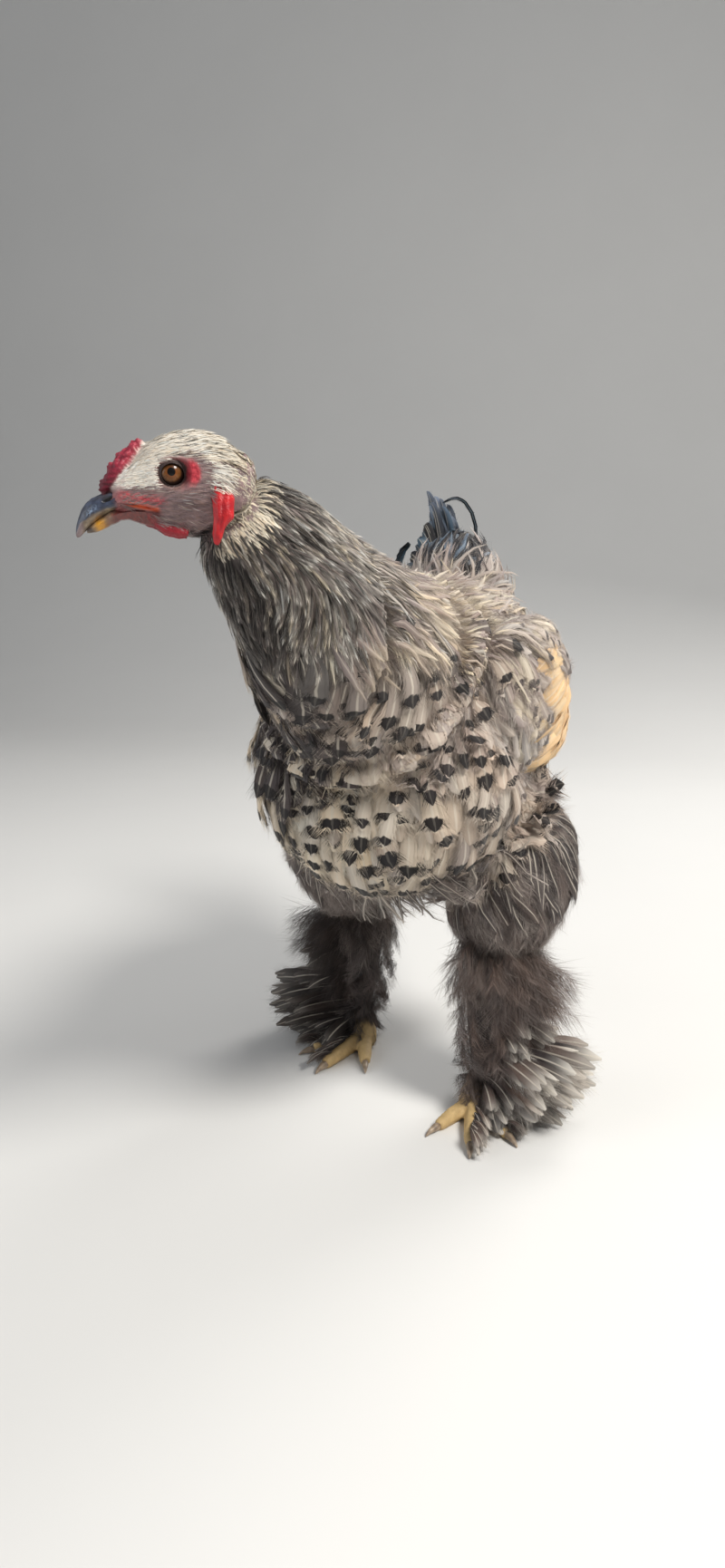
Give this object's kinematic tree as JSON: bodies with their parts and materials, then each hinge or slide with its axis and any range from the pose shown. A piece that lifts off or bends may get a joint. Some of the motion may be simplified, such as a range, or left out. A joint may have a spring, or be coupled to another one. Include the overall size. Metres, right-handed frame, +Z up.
{
  "type": "brahma chicken, young cockerel",
  "caption": "Life-size still model of a young Brahma cockerel, standing in mid-step on feathered feet with its neck reaching forward and its head turned to its right.",
  "frame": {"origin": "Middle of the outline's footprint, on the ground under the soles", "axes": "+Z is up, the bird faces -Y, and its left side is towards +X"},
  "size_m": [0.2916, 0.561, 0.4808],
  "materials": {
    "plumage": "soft silver-grey and taupe feathers",
    "breast": "cream feathers with black-brown tip spots",
    "fluff": "dark grey-brown loose fluff and stiff foot feathers",
    "wing_bay": "smooth buff flight feathers",
    "tail": "blue-black feathers with a green gloss",
    "comb": "bare red skin",
    "beak": "horn, slate grey above and yellow below",
    "eye": "wet amber eye",
    "toe": "scaled yellow-pink skin"
  },
  "bodies": {
    "root": {"beak_lower": "beak", "beak_upper": "beak", "boot_left_lower": "fluff", "boot_left_middle": "fluff", "boot_left_toe": "fluff", "boot_left_upper": "fluff", "boot_right_lower": "fluff", "boot_right_middle": "fluff", "boot_right_toe": "fluff", "boot_right_upper": "fluff", "claw_left_hind": "beak", "claw_left_inner": "beak", "claw_left_middle": "beak", "claw_left_outer": "beak", "claw_right_hind": "beak", "claw_right_inner": "beak", "claw_right_middle": "beak", "claw_right_outer": "beak", "comb": "comb", "earlobe_left": "comb", "earlobe_right": "comb", "eye_left": "eye", "eye_right": "eye", "flight_left": "wing_bay", "flight_right": "wing_bay", "foot_left": "toe", "foot_right": "toe", "head": "plumage", "neck_lower": "plumage", "neck_upper": "plumage", "shank_left": "fluff", "shank_right": "fluff", "sickle_high": "tail", "sickle_left": "tail", "sickle_right": "tail", "tail_cushion": "tail", "tail_left": "tail", "tail_right": "tail", "thigh_left": "fluff", "thigh_right": "fluff", "trunk": "breast", "wattle_left": "comb", "wattle_right": "comb", "wing_left": "plumage", "wing_right": "plumage"}
  },
  "joints": []
}
